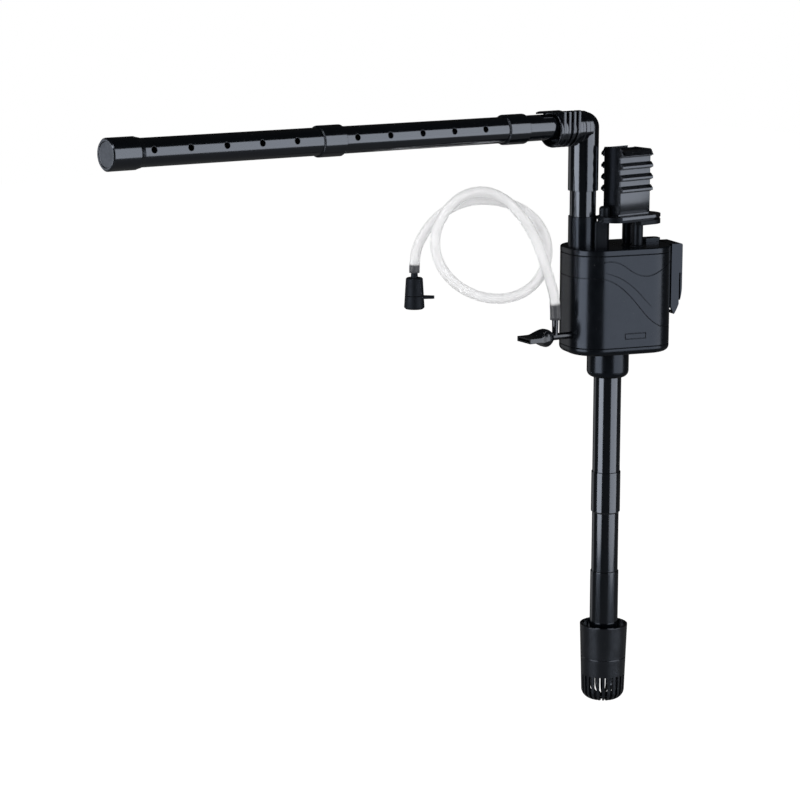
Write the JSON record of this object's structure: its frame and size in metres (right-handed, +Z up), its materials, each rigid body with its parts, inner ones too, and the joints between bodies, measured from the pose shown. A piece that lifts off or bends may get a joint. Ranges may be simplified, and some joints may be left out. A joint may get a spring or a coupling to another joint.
{
  "type": "hanging aquarium pump filter",
  "caption": "Submersible pump that hangs on a ribbed post, with a spray bar on a riser, a long strainer tube below, and a duckbill outlet that draws air through a clear hose.",
  "frame": {"origin": "middle of the hanger post's foot, on the top face of its flange", "axes": "+Z up along the post; +X along the post's width, away from the spray bar; -Y is the front"},
  "size_m": [0.3937, 0.0901, 0.3705],
  "materials": {
    "post_plastic": "satin",
    "body_plastic": "satin",
    "pipe_plastic": "gloss",
    "strainer_plastic": "satin",
    "nozzle_plastic": "satin",
    "clear_hose": "translucent",
    "seal_rubber": "matte",
    "rotor_plastic": "satin",
    "potting": "matte",
    "core_steel": "satin",
    "coil_wire": "satin",
    "magnet": "matte",
    "shaft_steel": "polished"
  },
  "bodies": {
    "pump": {"hanger_post": "post_plastic", "hanger_yoke": "post_plastic", "pump_casing": "body_plastic", "top_lid": "body_plastic", "bottom_cover": "body_plastic", "lid_gasket": "seal_rubber", "cover_gasket": "seal_rubber", "cord_gland": "seal_rubber", "latch_pin": "shaft_steel", "motor_block": "potting", "stator_core": "core_steel", "stator_coil": "coil_wire", "rotor_shaft": "shaft_steel", "upper_bush": "seal_rubber", "pump_chamber": "rotor_plastic", "suction_tube_upper": "pipe_plastic", "suction_tube_lower": "pipe_plastic", "strainer_neck": "pipe_plastic", "strainer_basket": "strainer_plastic", "venturi_tee": "post_plastic", "air_tube": "clear_hose", "valve_body": "nozzle_plastic"},
    "rotor": {"rotor_magnet": "magnet", "impeller": "rotor_plastic"},
    "riser": {"riser_tube": "pipe_plastic", "elbow": "pipe_plastic"},
    "bar_inner": {"spray_stub": "pipe_plastic", "spray_tube_inner": "pipe_plastic"},
    "bar_outer": {"spray_tube_outer": "pipe_plastic", "end_cap": "pipe_plastic"},
    "nozzle": {"duckbill": "nozzle_plastic"},
    "valve_dial": {"valve_cap": "nozzle_plastic"},
    "latch": {"latch_clip": "body_plastic"}
  },
  "joints": [
    {"name": "rotor_spin", "type": "hinge", "parent": "pump", "child": "rotor", "pos_m": [-0.00488, 0.00913, -0.0455], "axis": [0, 0, 1], "continuous": true},
    {"name": "riser_swivel", "type": "hinge", "parent": "pump", "child": "riser", "pos_m": [-0.02224, 0.01443, -0.0005], "axis": [0, 0, 1], "continuous": true},
    {"name": "bar_roll", "type": "hinge", "parent": "riser", "child": "bar_inner", "pos_m": [-0.02224, 0.01443, 0.0539], "axis": [-0.9999, 0, 0.0112], "continuous": true},
    {"name": "bar_end_roll", "type": "hinge", "parent": "bar_inner", "child": "bar_outer", "pos_m": [-0.20253, 0.01443, 0.05591], "axis": [-0.9999, 0, 0.0112], "continuous": true},
    {"name": "nozzle_turn", "type": "hinge", "parent": "pump", "child": "nozzle", "pos_m": [-0.03452, 0.00989, -0.0712], "axis": [-0.9945, 0.1045, 0], "continuous": true},
    {"name": "air_dial", "type": "hinge", "parent": "pump", "child": "valve_dial", "pos_m": [-0.1104, 0.0654, -0.048], "axis": [0, 0, 1], "range_deg": [-150, 150]},
    {"name": "latch_hinge", "type": "hinge", "parent": "pump", "child": "latch", "pos_m": [0.03261, -0.00234, -0.0575], "axis": [0.2924, 0.9563, 0], "range_deg": [0, 20]}
  ]
}
